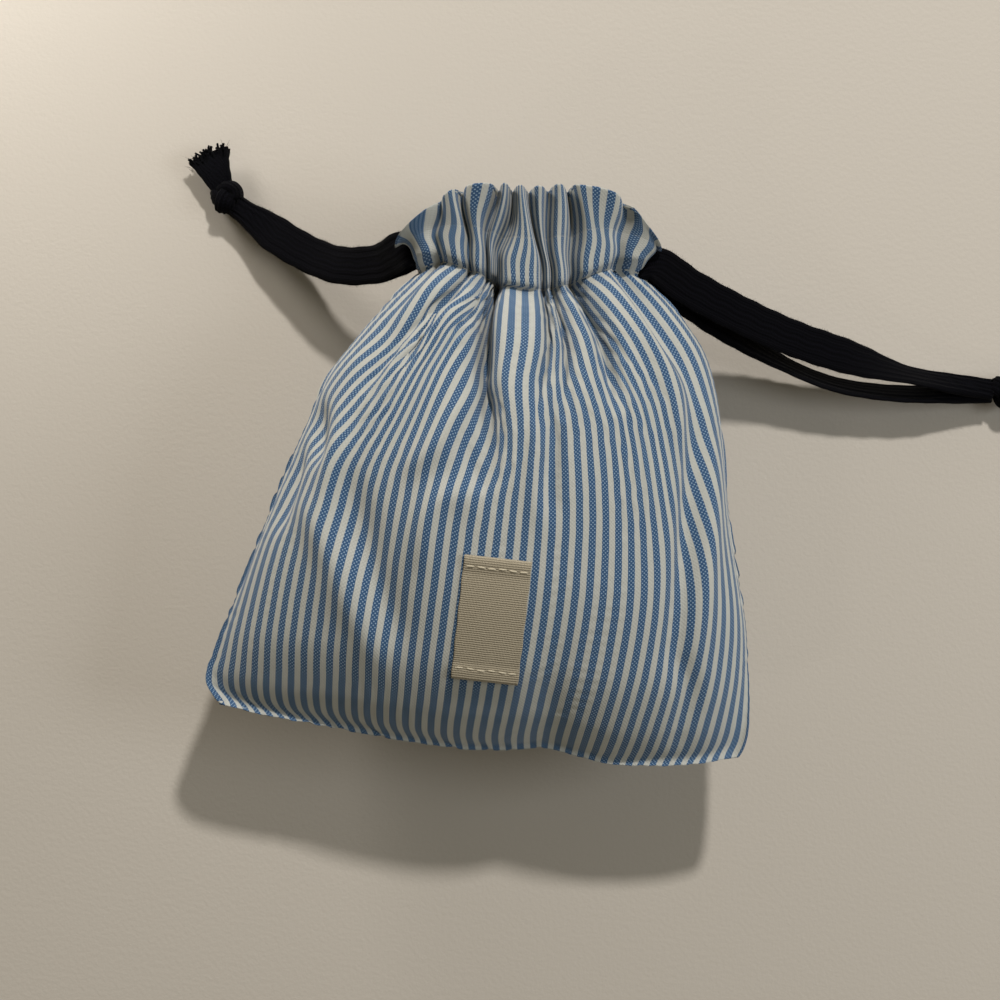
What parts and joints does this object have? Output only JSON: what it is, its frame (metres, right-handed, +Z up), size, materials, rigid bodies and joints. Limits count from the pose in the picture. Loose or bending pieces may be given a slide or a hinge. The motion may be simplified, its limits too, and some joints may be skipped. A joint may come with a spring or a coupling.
{
  "type": "drawstring pouch",
  "caption": "Small striped cotton pouch, drawn shut and full, with two flat knotted drawstrings and a woven label on its front.",
  "frame": {"origin": "on the surface the pouch lies on, under the middle of the cloth bag", "axes": "+Z up out of the front with the label, +Y towards the gathered head, +X to the right seen from the front"},
  "size_m": [0.2299, 0.1477, 0.0583],
  "materials": {
    "striped_cotton": "plain woven cotton with narrow blue and off-white stripes",
    "label_weave": "ribbed cream cotton tape",
    "navy_tape": "knitted cotton tape, almost black"
  },
  "bodies": {
    "root": {"cloth_bag": "striped_cotton", "woven_label": "label_weave", "left_drawstring_in_casing": "navy_tape", "right_drawstring_in_casing": "navy_tape", "left_front_tape": "navy_tape", "left_back_tape": "navy_tape", "right_front_tape": "navy_tape", "right_back_tape": "navy_tape", "left_knot": "navy_tape", "right_knot": "navy_tape", "left_frayed_tail": "navy_tape", "right_frayed_tail": "navy_tape"}
  },
  "joints": []
}
